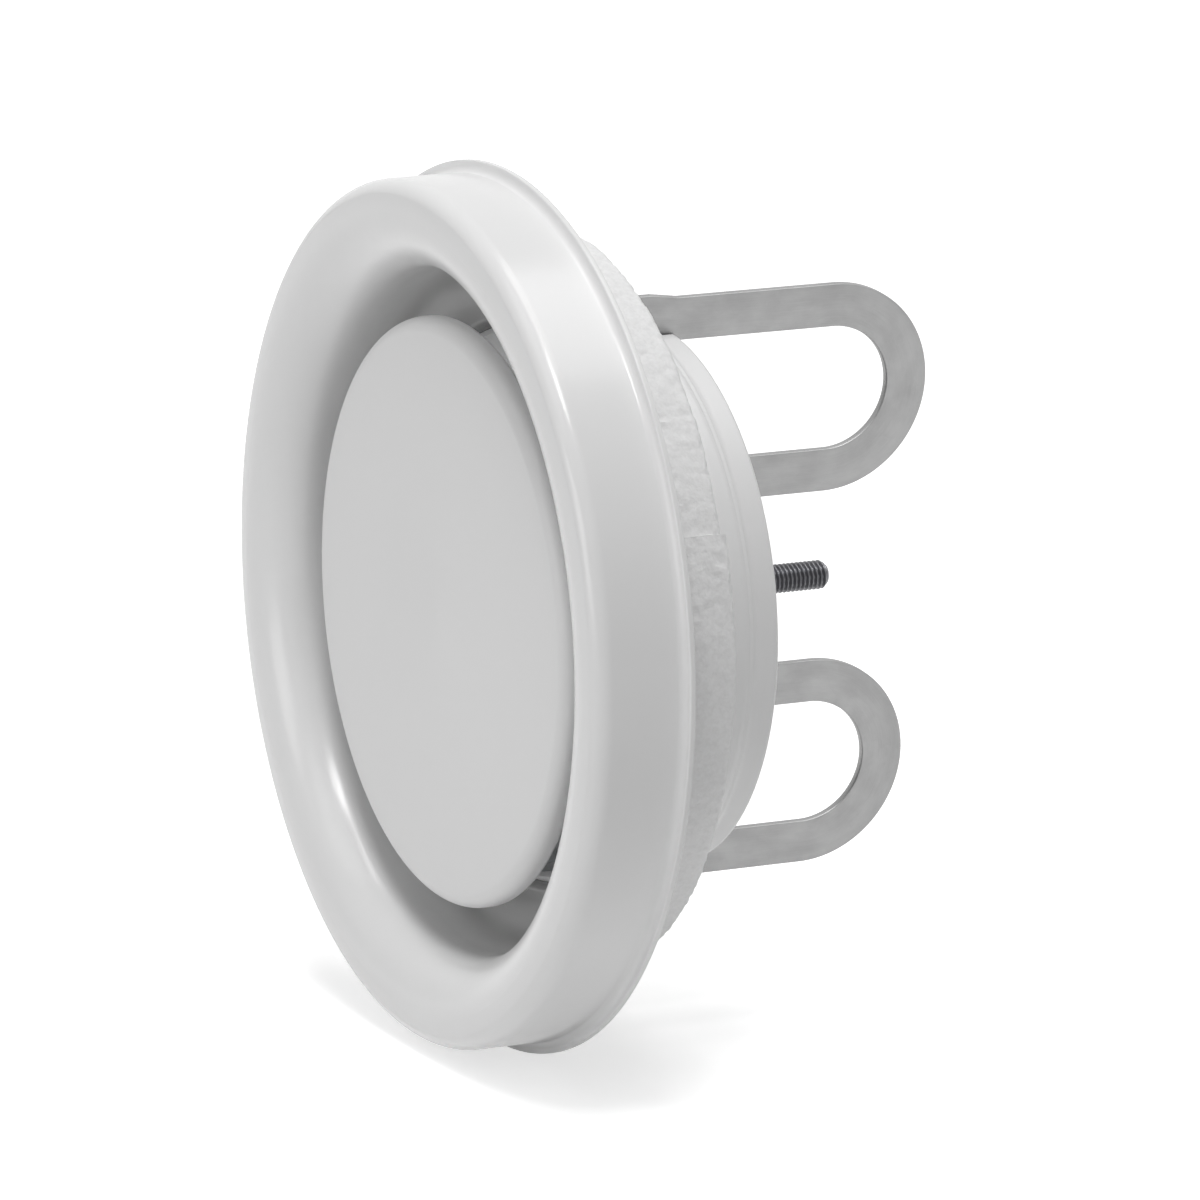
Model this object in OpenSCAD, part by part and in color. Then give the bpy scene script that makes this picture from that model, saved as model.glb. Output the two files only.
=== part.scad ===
// Round steel supply air valve for a 100 mm duct.
// The valve's axis is Y. Its front faces -Y, and y = 0 is the plane of the lip's rear
// face, which lies against the wall. All sizes are in millimetres.

/* [Front ring] */
// Width of the rear lip outside the skirt
lip_w = 2.1; // [1.5:0.1:3]
// Inner radius of the bend between skirt and lip
lip_bend = 0.7; // [0.4:0.1:1]
// Distance from the lip's plane to the front of the face
ring_depth = 16.9; // [14:0.1:24]
// Radius of the shoulder between skirt and face
shoulder_round = 3.2; // [2:0.1:5]
// Distance from the skirt in to where the face comes furthest forward
face_w = 5.6; // [3.5:0.1:9]
// Radius of the gentle curve from crest to shoulder
face_round = 16.5; // [12:0.5:24]
// Radius of the nose between crest and throat
nose_round = 9.5; // [6:0.1:11]
// Radius of the bend between throat and floor
floor_round = 8; // [4:0.1:8]
// Width of the flat floor between its two bends
floor_w = 1.45; // [1:0.05:6]
// Distance of the floor behind the lip's plane
floor_y = 3.4; // [2:0.1:6]
// Radius of the bend from floor to neck
neck_round = 1.6; // [1.4:0.1:2.5]
// Depth of the neck behind the floor
neck_length = 7; // [5:0.1:8]
// Sheet thickness of the ring
ring_sheet = 1; // [0.8:0.1:1.2]

/* [Collar] */
// Outer radius of the collar, on which all other radii are built
collar_r = 46.7; // [40:0.1:60]
// Step down of the swaged rear end
swage_step = 1; // [0.4:0.1:2]
// Length of the swaged rear end
swage_length = 5; // [4:0.1:8]
// Distance of the rear edge behind the lip's plane
collar_end = 29.6; // [27:0.1:36]
// Sheet thickness of the collar
collar_sheet = 0.8; // [0.6:0.1:1]
// Clearance between collar and neck
lap_gap = 0.05; // [0.02:0.01:0.1]
// Clearance on each side of a loop in its slot
slot_gap = 0.45; // [0.3:0.05:0.8]

/* [Foam gasket] */
// Width of the foam strip
gasket_w = 15.65; // [12:0.05:18]
// Distance of the gasket's rear face behind the lip's plane
gasket_end = 12.8; // [11:0.1:13]
// Rounding of the gasket's edges
gasket_round = 1.2; // [0.5:0.1:2]
// Clearance between gasket and steel
gasket_gap = 0.1; // [0.05:0.01:0.3]
// Width of the butt seam
seam_w = 0.5; // [0.3:0.1:1]
// Angle of the butt seam, from +X towards +Z
seam_angle = 21; // [0:1:60]

/* [Spring loops] */
// Angle of the loops' common plane, from +X towards +Z
loop_angle = 83.1; // [80:0.1:90]
// Reach of the free loops outside the collar
loop_proud = 5.1; // [4:0.05:7]
// Outer radius of the loop's round end
loop_round = 18.3; // [17:0.05:19]
// Width of the strip
loop_strip = 7.45; // [6:0.05:8]
// Sheet thickness of the loops
loop_sheet = 1.5; // [1:0.1:2]
// Distance of the round end's centre behind the lip's plane
loop_end = 59.2; // [50:0.05:66]
// Outward flare of the free leg in the slot
flare_out = 0.7; // [0.2:0.1:1.5]
// Distance of the free tip behind the gasket
tip_gap = 1.6; // [1:0.1:3]
// Width of a loop's foot along the bridge
foot_w = 12; // [10:0.5:14]
// Length of a loop's foot across the bridge
foot_l = 9.5; // [9:0.5:9.5]
// Inner radius of the foot's bend
foot_bend = 1; // [0.6:0.1:1.5]

/* [Bridge] */
// Distance of the bridge's rear face behind the lip's plane
bridge_y = 15.5; // [15:0.1:17]
// Sheet thickness of the bridge
bridge_sheet = 1.5; // [1:0.1:2]
// Width of the bridge in the middle
bridge_w = 20; // [20:0.5:24]
// Width of the bridge at its ends
bridge_end_w = 15; // [12:0.5:18]
// Inner radius of the bend to the end tabs
bridge_bend = 1.5; // [1:0.1:2.5]
// Length of the end tabs
tab_l = 8; // [6:0.5:8]
// Height of the stiffening beads
bead_h = 0.8; // [0.4:0.1:1]

/* [Spindle and nuts] */
// Nominal radius of the spindle
spindle_r = 2.5; // [2:0.1:3]
// Distance of the spindle's tip behind the lip's plane
spindle_end = 60.9; // [50:0.1:70]
// Running clearance round the spindle
run_gap = 0.05; // [0.02:0.01:0.09]
// Outer radius of the threaded bush
bush_r = 4; // [3.8:0.1:4.5]
// Radius of the bush's flange
bush_flange_r = 6; // [5.5:0.1:7]
// Thickness of the bush's flange
bush_flange = 1.5; // [1:0.1:2]
// Width of the nuts across flats
nut_af = 8; // [8:0.1:9]
// Thickness of the nuts
nut_h = 4; // [3:0.1:4]
// Gap between lock nut and bush
nut_gap = 0.3; // [0.2:0.1:1]

/* [Disc] */
// Gap between disc and throat
disc_gap = 8.2; // [7:0.1:13]
// Distance of the disc's face in front of the lip's plane
disc_front = 11.5; // [10:0.1:14]
// Depth of the disc from face to rolled edge
disc_depth = 4.6; // [4.4:0.1:10]
// Radius of the edge between face and rim
disc_round = 2.6; // [2:0.1:3]
// Outer radius of the rolled edge
hem_round = 1.2; // [1:0.1:1.4]
// Sheet thickness of the disc
disc_sheet = 0.8; // [0.6:0.1:1]
// Outer radius of the cup's flange
cup_flange_r = 21; // [18:0.5:26]
// Outer radius of the cup's wall
cup_r = 14; // [12:0.5:16]
// Height of the cup
cup_h = 6.8; // [6:0.1:7]
// Sheet thickness of the cup
cup_sheet = 1; // [0.8:0.1:1.2]
// Thickness of the clamp washer
washer_h = 1; // [0.6:0.1:1.2]
// Outer radius of the clamp washer
washer_r = 5; // [4.8:0.1:6]

/* [Rivets] */
// Radius of a rivet's shank
rivet_r = 1.6; // [1.2:0.1:2]
// Radius of a rivet's head
rivet_head_r = 2.7; // [2.2:0.1:3]
// Height of a rivet's head
rivet_head_h = 1.3; // [0.8:0.1:1.6]
// Height of a rivet's closed end in front of the bridge
tail_h = 0.8; // [0.6:0.1:1]

/* [Hidden] */
$fn = 96;

// Degrees between the points of a drawn bend
bend_step = 7.5;

// Places that follow from the sizes above
neck_r = collar_r + lap_gap;
throat_r = neck_r + neck_round + floor_w + floor_round;
crest_r = throat_r + nose_round;
skirt_r = crest_r + face_w;
lip_r = skirt_r + lip_w;
disc_r = throat_r - disc_gap;
gasket_in = neck_r + ring_sheet + gasket_gap;
gasket_r = gasket_in + gasket_w;
loop_centre = collar_r + loop_proud - loop_round;
collar_in = collar_r - collar_sheet;
collar_start = floor_y + neck_round;
gasket_start = floor_y + ring_sheet;
disc_back = disc_sheet - disc_front;
cup_top = disc_back + cup_h;
leg_out = loop_centre + loop_round;
leg_in = loop_centre - loop_round;
loop_hole = loop_round - loop_strip;
tip_y = gasket_end + tip_gap;
foot_top = bridge_y + loop_sheet;
foot_mid = leg_in + loop_strip / 2;
rivet_n = foot_l / 2 + foot_bend;
slot_w = loop_sheet + 2 * slot_gap;
bush_end = bridge_y + 1.7;
nut_y = bush_end + nut_gap;
nut_corner = nut_af / sqrt(3);
spindle_start = disc_back + 0.9;

// Points of an arc round [cx, cy] of radius r, from angle a0 to angle a1
function arc(cx, cy, r, a0, a1) =
    let (n = max(1, ceil(abs(a1 - a0) / bend_step)))
    a0 == a1 ? [[cx + r * cos(a0), cy + r * sin(a0)]]
    : [for (i = [0:n]) let (a = a0 + (a1 - a0) * i / n) [cx + r * cos(a), cy + r * sin(a)]];

// One face of a bent sheet. Each bend is [cx, cy, r, a0, a1, side], and straight runs
// join the bends. The other face lies at distance d, outside a bend whose side is 1
// and inside a bend whose side is -1.
function run(bends, d) =
    [for (b = bends) each arc(b[0], b[1], b[2] + b[5] * d, b[3], b[4])];

function backwards(points) = [for (i = [len(points) - 1:-1:0]) points[i]];

// Section of a bent sheet of thickness t
module sheet(bends, t) {
    polygon(concat(run(bends, 0), backwards(run(bends, t))));
}

// Turns a section drawn as [radius, y] round the valve's axis
module turned() {
    rotate([-90, 0, 0])
        rotate_extrude($fn = 180)
            children();
}

// Stands a part on the axis at y, with its own Z along +Y
module on_axis(y) {
    translate([0, y, 0])
        rotate([-90, 0, 0])
            children();
}

// Turns a part drawn with its loop plane in Z to the plane of the loops:
// drawn X is the normal of that plane, drawn Z runs outwards along it.
module in_loop_plane(half = 0) {
    rotate([0, 90 - loop_angle + 180 * half, 0])
        children();
}

module hex_nut() {
    difference() {
        intersection() {
            cylinder(h = nut_h, r = nut_corner, $fn = 6);
            union() {
                cylinder(h = nut_h / 2, r1 = nut_af / 2, r2 = nut_af / 2 + nut_h);
                translate([0, 0, nut_h / 2])
                    cylinder(h = nut_h / 2, r1 = nut_af / 2 + nut_h, r2 = nut_af / 2);
            }
        }
        translate([0, 0, -1])
            cylinder(h = nut_h + 2, r = spindle_r + run_gap);
    }
}

// Pressed ring: lip, skirt, rounded face, throat, floor and the neck round the collar
module front_ring() {
    lip_y = -ring_sheet - lip_bend;
    face_y = face_round - ring_depth;
    lean = asin((skirt_r - shoulder_round - crest_r) / (face_round - shoulder_round));
    shoulder_y = face_y - (face_round - shoulder_round) * cos(lean);
    bends = [
        [lip_r, lip_y, lip_bend, 90, 90, 1],
        [skirt_r + lip_bend, lip_y, lip_bend, 90, 180, 1],
        [skirt_r - shoulder_round, shoulder_y, shoulder_round, 0, lean - 90, -1],
        [crest_r, face_y, face_round, lean - 90, -90, -1],
        [crest_r, nose_round - ring_depth, nose_round, -90, -180, -1],
        [throat_r - floor_round, floor_y - floor_round, floor_round, 0, 90, 1],
        [neck_r + neck_round, floor_y + neck_round, neck_round, -90, -180, -1],
        [neck_r + neck_round, floor_y + neck_length, neck_round, 180, 180, -1]];
    color("white")
        turned()
            sheet(bends, ring_sheet);
}

// Rolled tube that enters the duct, swaged and hemmed at the rear, with two slots
// in which the free legs of the loops move
module collar() {
    end_r = collar_r - swage_step;
    hem = collar_sheet + 0.1;
    ease = 2 * swage_step;
    swage_y = collar_end - swage_length;
    bends = [
        [collar_r - ease, collar_start, ease, 0, 0, -1],
        [collar_r - ease, swage_y - ease, ease, 0, 40, -1],
        [end_r + ease, swage_y + 0.6 * ease, ease, 220, 180, 1],
        [end_r - hem, collar_end - hem, hem, 0, 180, -1],
        [end_r - hem, collar_end - swage_length / 2, hem, 180, 180, -1]];
    color("gainsboro")
        difference() {
            turned()
                sheet(bends, collar_sheet);
            for (half = [0, 1])
                in_loop_plane(half)
                    translate([-slot_w / 2, gasket_end + tip_gap / 2, collar_in - swage_step - 4])
                        cube([slot_w, collar_end, 8 + swage_step]);
        }
}

// Foam strip bent into a ring behind the floor, its ends butted on the near side
module foam_gasket() {
    e = gasket_round;
    y0 = gasket_start + gasket_gap;
    bends = concat(
        arc(gasket_r - e, y0 + e, e, -90, 0),
        arc(gasket_r - e, gasket_end - e, e, 0, 90),
        arc(gasket_in + e / 2, gasket_end - e / 2, e / 2, 90, 180),
        arc(gasket_in + e / 2, y0 + e / 2, e / 2, 180, 270));
    color("whitesmoke")
        difference() {
            turned()
                polygon(bends);
            rotate([0, -seam_angle, 0])
                translate([gasket_in - 1, y0 - 1, -seam_w / 2])
                    cube([gasket_r, gasket_end, seam_w]);
        }
}

// Strap pressed from one sheet: a flat web and two curved tabs that lie against the
// collar's wall, trimmed to a tapered outline
module bridge() {
    out_r = collar_in - lap_gap;
    front_y = bridge_y - bridge_sheet;
    bend_r = bridge_bend + bridge_sheet;
    bends = [
        [bush_r, front_y, bridge_sheet, 90, 90, -1],
        [out_r - bend_r, bridge_y - bend_r, bend_r, 90, 0, -1],
        [out_r - bend_r, front_y - tab_l, bend_r, 0, 0, -1]];
    taper = 26;
    color("silver")
        difference() {
            intersection() {
                turned()
                    sheet(bends, bridge_sheet);
                in_loop_plane()
                    rotate([90, 0, 0])
                        linear_extrude(4 * bridge_y, center = true)
                            polygon([
                                [-bridge_w / 2, -taper],
                                [-bridge_end_w / 2, -out_r - 2],
                                [bridge_end_w / 2, -out_r - 2],
                                [bridge_w / 2, -taper],
                                [bridge_w / 2, taper],
                                [bridge_end_w / 2, out_r + 2],
                                [-bridge_end_w / 2, out_r + 2],
                                [-bridge_w / 2, taper]]);
            }
            for (half = [0, 1])
                in_loop_plane(half) {
                    translate([rivet_n, 0, foot_mid])
                        on_axis(front_y - 1)
                            cylinder(h = bridge_sheet + 2, r = rivet_r);
                    bead(front_y - 1, bead_h + 1, 0);
                }
        }
    color("silver")
        for (half = [0, 1])
            in_loop_plane(half)
                difference() {
                    bead(bridge_y - 0.2, bead_h + 0.2, bridge_sheet / 2);
                    bead(bridge_y - 1, bead_h + 1 - bridge_sheet / 2, 0);
                }
}

// Long round-ended boss of a stiffening bead, from y on, h thick, wider by grow
module bead(y, h, grow) {
    z0 = foot_mid + foot_w / 2 + 3;
    z1 = collar_in - bridge_sheet - bridge_bend - 5;
    for (z = [z0, z1])
        translate([0, 0, z])
            on_axis(y)
                cylinder(h = h, r = 1.6 + grow);
    translate([-1.6 - grow, y, z0])
        cube([3.2 + 2 * grow, h, z1 - z0]);
}

// Bush with the spindle's thread, clinched into the middle of the bridge
module threaded_bush() {
    front_y = bridge_y - bridge_sheet;
    color("goldenrod")
        turned()
            polygon([
                [spindle_r + run_gap, front_y - bush_flange],
                [bush_flange_r - 0.4, front_y - bush_flange],
                [bush_flange_r, front_y - bush_flange + 0.4],
                [bush_flange_r, front_y],
                [bush_r, front_y],
                [bush_r, bridge_y],
                [bush_r + 0.7, bridge_y],
                [bush_r + 0.5, bush_end - 0.7],
                [bush_r - 0.4, bush_end],
                [spindle_r + run_gap, bush_end]]);
}

// Outline of a loop in its own plane, drawn as [distance from the axis, y]
module loop_outline() {
    bend_y = foot_top + foot_bend;
    flare_y = collar_end + 0.2;
    difference() {
        union() {
            translate([loop_centre, loop_end])
                circle(r = loop_round, $fn = 144);
            translate([leg_in, bend_y])
                square([loop_strip, loop_end - bend_y]);
            polygon([
                [leg_out - loop_strip, loop_end],
                [leg_out, loop_end],
                [leg_out, flare_y],
                [leg_out + flare_out, flare_y - 5],
                [leg_out + flare_out, tip_y + 2],
                [leg_out + flare_out - 2, tip_y],
                [leg_out - loop_strip + 2.5, tip_y],
                [leg_out - loop_strip, tip_y + 5]]);
            // shoulders of the foot
            polygon([
                [foot_mid - foot_w / 2, bend_y],
                [foot_mid + foot_w / 2, bend_y],
                [foot_mid + foot_w / 2, bend_y + 1.5],
                [leg_in + loop_strip, bend_y + 4],
                [leg_in, bend_y + 4],
                [foot_mid - foot_w / 2, bend_y + 1.5]]);
        }
        translate([loop_centre, loop_end])
            circle(r = loop_hole, $fn = 144);
        translate([loop_centre - loop_hole, bend_y + 5])
            square([2 * loop_hole, loop_end - bend_y - 5]);
    }
}

// Flat stamped loop with one leg bent to a foot that lies on the bridge
module spring_loop() {
    half_t = loop_sheet / 2;
    bends = [
        [half_t + foot_bend, foot_top + foot_bend, foot_bend, 180, 270, 1],
        [foot_l - foot_bend, foot_top + foot_bend, foot_bend, 270, 270, 1]];
    difference() {
        union() {
            rotate([0, -90, 0])
                linear_extrude(loop_sheet, center = true)
                    loop_outline();
            translate([0, 0, foot_mid - foot_w / 2])
                linear_extrude(foot_w)
                    sheet(bends, loop_sheet);
        }
        translate([rivet_n, 0, foot_mid])
            on_axis(bridge_y - 1)
                cylinder(h = loop_sheet + 2, r = rivet_r);
    }
}

module upper_spring_loop() {
    color("darkgray")
        in_loop_plane(0)
            spring_loop();
}

module lower_spring_loop() {
    color("darkgray")
        in_loop_plane(1)
            spring_loop();
}

// Domed rivets through the feet and the bridge
module loop_rivets() {
    front_y = bridge_y - bridge_sheet;
    dome = (rivet_head_r * rivet_head_r + rivet_head_h * rivet_head_h) / (2 * rivet_head_h);
    color("dimgray")
        for (half = [0, 1])
            in_loop_plane(half)
                translate([rivet_n, 0, foot_mid]) {
                    on_axis(front_y - tail_h)
                        cylinder(h = tail_h, r1 = rivet_r + tail_h / 2, r2 = rivet_r + tail_h);
                    on_axis(front_y)
                        cylinder(h = foot_top - front_y, r = rivet_r);
                    intersection() {
                        on_axis(foot_top)
                            cylinder(h = rivet_head_h, r = rivet_head_r);
                        translate([0, foot_top + rivet_head_h - dome, 0])
                            sphere(r = dome);
                    }
                }
}

module lock_nut() {
    color("slategray")
        on_axis(nut_y)
            hex_nut();
}

// Threaded rod with chamfered ends, drawn plain
module spindle() {
    color("dimgray")
        turned()
            polygon([
                [0, spindle_start],
                [spindle_r - 0.5, spindle_start],
                [spindle_r, spindle_start + 0.5],
                [spindle_r, spindle_end - 1],
                [spindle_r - 0.35, spindle_end - 0.35],
                [spindle_r - 1, spindle_end],
                [0, spindle_end]]);
}

// Pressed pan with a flat face, a rounded edge and an inward rolled rim
module control_disc() {
    rim_y = disc_depth - disc_front - hem_round;
    bends = [
        [0, disc_round - disc_front, disc_round, -90, -90, -1],
        [disc_r - disc_round, disc_round - disc_front, disc_round, -90, 0, -1],
        [disc_r - hem_round, rim_y, hem_round, 0, 180, -1]];
    color("white")
        turned()
            sheet(bends, disc_sheet);
}

// Pressed hat on the disc's back, open round the inner nut
module disc_cup() {
    top_in = cup_top - cup_sheet;
    bends = [
        [cup_flange_r, disc_back + 2 * cup_sheet, cup_sheet, 90 + 180, 90 + 180, 1],
        [cup_r + cup_sheet, disc_back + 2 * cup_sheet, cup_sheet, 270, 180, 1],
        [cup_r - 2 * cup_sheet, cup_top - 2 * cup_sheet, 2 * cup_sheet, 0, 90, -1],
        [spindle_r + run_gap, cup_top - 2 * cup_sheet, 2 * cup_sheet, 90, 90, -1]];
    color("lightsteelblue")
        difference() {
            turned()
                sheet(bends, cup_sheet);
            // three windows let a spanner hold the inner nut
            for (a = [0, 120, 240])
                rotate([0, a, 0])
                    translate([nut_corner + 3, disc_back + 2 * cup_sheet + 0.2, -4])
                        cube([cup_r, cup_h - 4 * cup_sheet - 0.4, 8]);
        }
}

// Nuts on both sides of the cup's top
module clamp_nuts() {
    color("slategray") {
        on_axis(cup_top - cup_sheet - nut_h)
            hex_nut();
        on_axis(cup_top + washer_h)
            hex_nut();
    }
}

module clamp_washer() {
    color("lightslategray")
        on_axis(cup_top)
            difference() {
                cylinder(h = washer_h, r = washer_r);
                translate([0, 0, -1])
                    cylinder(h = washer_h + 2, r = spindle_r + run_gap);
            }
}

front_ring();
collar();
foam_gasket();
bridge();
threaded_bush();
upper_spring_loop();
lower_spring_loop();
loop_rivets();
lock_nut();
spindle();
control_disc();
disc_cup();
clamp_nuts();
clamp_washer();
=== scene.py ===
"""Looks of a round steel supply air valve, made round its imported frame.

The valve's axis is Y, its front faces -Y and its lip stands on the wall plane y = 0.
Each operator makes one piece or a group of like pieces; main() runs them in order.
"""

import math

import bpy
import numpy as np
from bpy.props import FloatProperty, FloatVectorProperty, IntProperty, PointerProperty
from mathutils import Matrix, Vector


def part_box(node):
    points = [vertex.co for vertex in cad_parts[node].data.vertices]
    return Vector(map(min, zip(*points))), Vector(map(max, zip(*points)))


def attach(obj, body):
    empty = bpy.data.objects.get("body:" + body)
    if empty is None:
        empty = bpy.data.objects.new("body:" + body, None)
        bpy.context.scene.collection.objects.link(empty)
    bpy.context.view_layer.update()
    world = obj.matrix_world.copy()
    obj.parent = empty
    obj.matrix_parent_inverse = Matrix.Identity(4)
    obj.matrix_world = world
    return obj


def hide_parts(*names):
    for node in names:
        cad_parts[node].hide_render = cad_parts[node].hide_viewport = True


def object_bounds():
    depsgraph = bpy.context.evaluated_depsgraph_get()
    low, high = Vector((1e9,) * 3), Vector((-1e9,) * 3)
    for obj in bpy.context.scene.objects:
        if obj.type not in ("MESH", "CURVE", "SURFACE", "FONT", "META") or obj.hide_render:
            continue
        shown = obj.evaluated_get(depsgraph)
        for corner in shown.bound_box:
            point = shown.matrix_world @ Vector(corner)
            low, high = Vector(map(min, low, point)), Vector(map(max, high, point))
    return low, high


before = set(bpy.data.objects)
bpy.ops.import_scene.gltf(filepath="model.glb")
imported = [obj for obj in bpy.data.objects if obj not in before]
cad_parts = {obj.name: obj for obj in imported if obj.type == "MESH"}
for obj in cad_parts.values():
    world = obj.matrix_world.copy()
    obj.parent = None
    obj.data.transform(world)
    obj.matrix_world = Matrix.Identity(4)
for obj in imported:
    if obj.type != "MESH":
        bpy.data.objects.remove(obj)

CAD_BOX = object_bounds()

bl_info = {
    "name": "Supply air valve",
    "version": (1, 0, 0),
    "blender": (4, 5, 0),
    "location": "3D View > Sidebar > Air valve",
    "description": "Makes the finished pieces of a round steel supply air valve",
    "category": "Add Mesh",
}


def corner(node, which):
    """Lowest (0) or highest (1) corner of a CAD node, as plain numbers."""
    return [round(float(v), 6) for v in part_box(node)[which]]


# Sizes and colours


class RingSizes(bpy.types.PropertyGroup):
    """Sizes of the pressed front ring"""

    lip_radius: FloatProperty(
        name="Lip radius", description="Radius of the rear lip",
        default=corner("front_ring", 1)[0], unit="LENGTH")
    skirt_radius: FloatProperty(
        name="Skirt radius", description="Radius of the skirt", default=0.0729, unit="LENGTH")
    lip_bend: FloatProperty(
        name="Lip bend", description="Inner radius of the bend between skirt and lip",
        default=0.0013, unit="LENGTH")
    depth: FloatProperty(
        name="Depth", description="Distance from the wall plane to the front of the face",
        default=-corner("front_ring", 0)[1], unit="LENGTH")
    shoulder: FloatProperty(
        name="Shoulder", description="Radius of the bend between skirt and face",
        default=0.0032, unit="LENGTH")
    crest_radius: FloatProperty(
        name="Crest radius", description="Radius at which the face comes furthest forward",
        default=0.0673, unit="LENGTH")
    face_round: FloatProperty(
        name="Face curve", description="Radius of the gentle curve from crest to shoulder",
        default=0.0165, unit="LENGTH")
    nose: FloatProperty(
        name="Nose", description="Radius of the curve between crest and throat",
        default=0.0095, unit="LENGTH")
    floor_bend: FloatProperty(
        name="Floor bend", description="Radius of the bend between throat and floor",
        default=0.008, unit="LENGTH")
    floor_reach: FloatProperty(
        name="Floor", description="Distance of the floor behind the wall plane",
        default=0.0034, unit="LENGTH")
    neck_radius: FloatProperty(
        name="Neck radius", description="Inner radius of the neck round the collar",
        default=0.04675, unit="LENGTH")
    neck_bend: FloatProperty(
        name="Neck bend", description="Radius of the bend between floor and neck",
        default=0.0016, unit="LENGTH")
    sheet: FloatProperty(
        name="Sheet", description="Thickness of the ring's sheet", default=0.001, unit="LENGTH")


class DiscSizes(bpy.types.PropertyGroup):
    """Sizes of the control disc"""

    radius: FloatProperty(
        name="Radius", description="Radius of the disc",
        default=corner("control_disc", 1)[0], unit="LENGTH")
    front: FloatProperty(
        name="Front", description="Distance of the face in front of the wall plane",
        default=-corner("control_disc", 0)[1], unit="LENGTH")
    edge: FloatProperty(
        name="Edge", description="Radius of the edge between face and rim",
        default=0.0026, unit="LENGTH")
    hem: FloatProperty(
        name="Hem", description="Outer radius of the rolled rim", default=0.0012, unit="LENGTH")
    sheet: FloatProperty(
        name="Sheet", description="Thickness of the disc's sheet", default=0.0008, unit="LENGTH")


class FoamSizes(bpy.types.PropertyGroup):
    """Sizes of the foam gasket"""

    radius: FloatProperty(
        name="Radius", description="Outer radius of the gasket",
        default=corner("foam_gasket", 1)[0], unit="LENGTH")
    round: FloatProperty(
        name="Edge", description="Rounding of the gasket's outer edges",
        default=0.0012, unit="LENGTH")
    seam: FloatProperty(
        name="Seam angle", description="Place of the butt seam, from +X towards +Z",
        default=math.radians(21), subtype="ANGLE")
    step: FloatProperty(
        name="Seam step", description="How far one end of the strip stands proud of the other",
        default=0.0006, unit="LENGTH")
    dent: FloatProperty(
        name="Dent", description="How far the strip is pressed in at the bottom",
        default=0.0018, unit="LENGTH")
    lumps: FloatProperty(
        name="Lumps", description="Height of the foam's soft unevenness",
        default=0.00012, unit="LENGTH")


class LoopSizes(bpy.types.PropertyGroup):
    """Sizes of the spring loops"""

    plane: FloatProperty(
        name="Plane angle", description="Angle of the loops' plane, from +X towards +Z",
        default=math.radians(83.1), subtype="ANGLE")
    centre: FloatProperty(
        name="Middle line", description="Distance of a loop's middle line from the axis",
        default=0.0335, unit="LENGTH")
    round: FloatProperty(
        name="Round end", description="Outer radius of the round end", default=0.0183,
        unit="LENGTH")
    end: FloatProperty(
        name="Centre", description="Distance of the round end's centre behind the wall plane",
        default=0.0592, unit="LENGTH")
    strip: FloatProperty(
        name="Strip", description="Width of the strip", default=0.00745, unit="LENGTH")
    sheet: FloatProperty(
        name="Sheet", description="Thickness of the strip", default=0.0015, unit="LENGTH")
    foot: FloatProperty(
        name="Foot", description="Width of the foot", default=0.012, unit="LENGTH")
    edge: FloatProperty(
        name="Edge", description="Rounding of the strip's edges", default=0.00025,
        unit="LENGTH")


class ThreadSizes(bpy.types.PropertyGroup):
    """Sizes of the spindle's thread"""

    radius: FloatProperty(
        name="Radius", description="Outer radius of the thread",
        default=corner("spindle", 1)[0], unit="LENGTH")
    pitch: FloatProperty(
        name="Pitch", description="Travel of the thread in one turn", default=0.0008,
        unit="LENGTH")
    depth: FloatProperty(
        name="Depth", description="Depth of the thread's groove", default=0.00049,
        unit="LENGTH")
    around: IntProperty(
        name="Points around", description="Points round the spindle", default=28, min=12)


class Finishes(bpy.types.PropertyGroup):
    """Colours of the valve"""

    ring: FloatVectorProperty(
        name="Ring paint", description="Colour of the front ring's paint",
        default=(0.86, 0.86, 0.86), subtype="COLOR", min=0, max=1)
    disc: FloatVectorProperty(
        name="Disc paint", description="Colour of the control disc's paint",
        default=(0.82, 0.82, 0.82), subtype="COLOR", min=0, max=1)
    collar: FloatVectorProperty(
        name="Collar paint", description="Colour of the collar's paint",
        default=(0.83, 0.83, 0.83), subtype="COLOR", min=0, max=1)
    foam: FloatVectorProperty(
        name="Foam", description="Colour of the foam gasket",
        default=(0.88, 0.88, 0.88), subtype="COLOR", min=0, max=1)
    spring: FloatVectorProperty(
        name="Spring steel", description="Colour of the spring loops",
        default=(0.32, 0.32, 0.32), subtype="COLOR", min=0, max=1)
    zinc: FloatVectorProperty(
        name="Zinc sheet", description="Colour of the bridge, cup and washer",
        default=(0.5, 0.51, 0.52), subtype="COLOR", min=0, max=1)
    nuts: FloatVectorProperty(
        name="Nuts", description="Colour of the nuts, rivets and bush",
        default=(0.45, 0.45, 0.46), subtype="COLOR", min=0, max=1)
    spindle: FloatVectorProperty(
        name="Spindle", description="Colour of the spindle",
        default=(0.17, 0.17, 0.18), subtype="COLOR", min=0, max=1)


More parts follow.
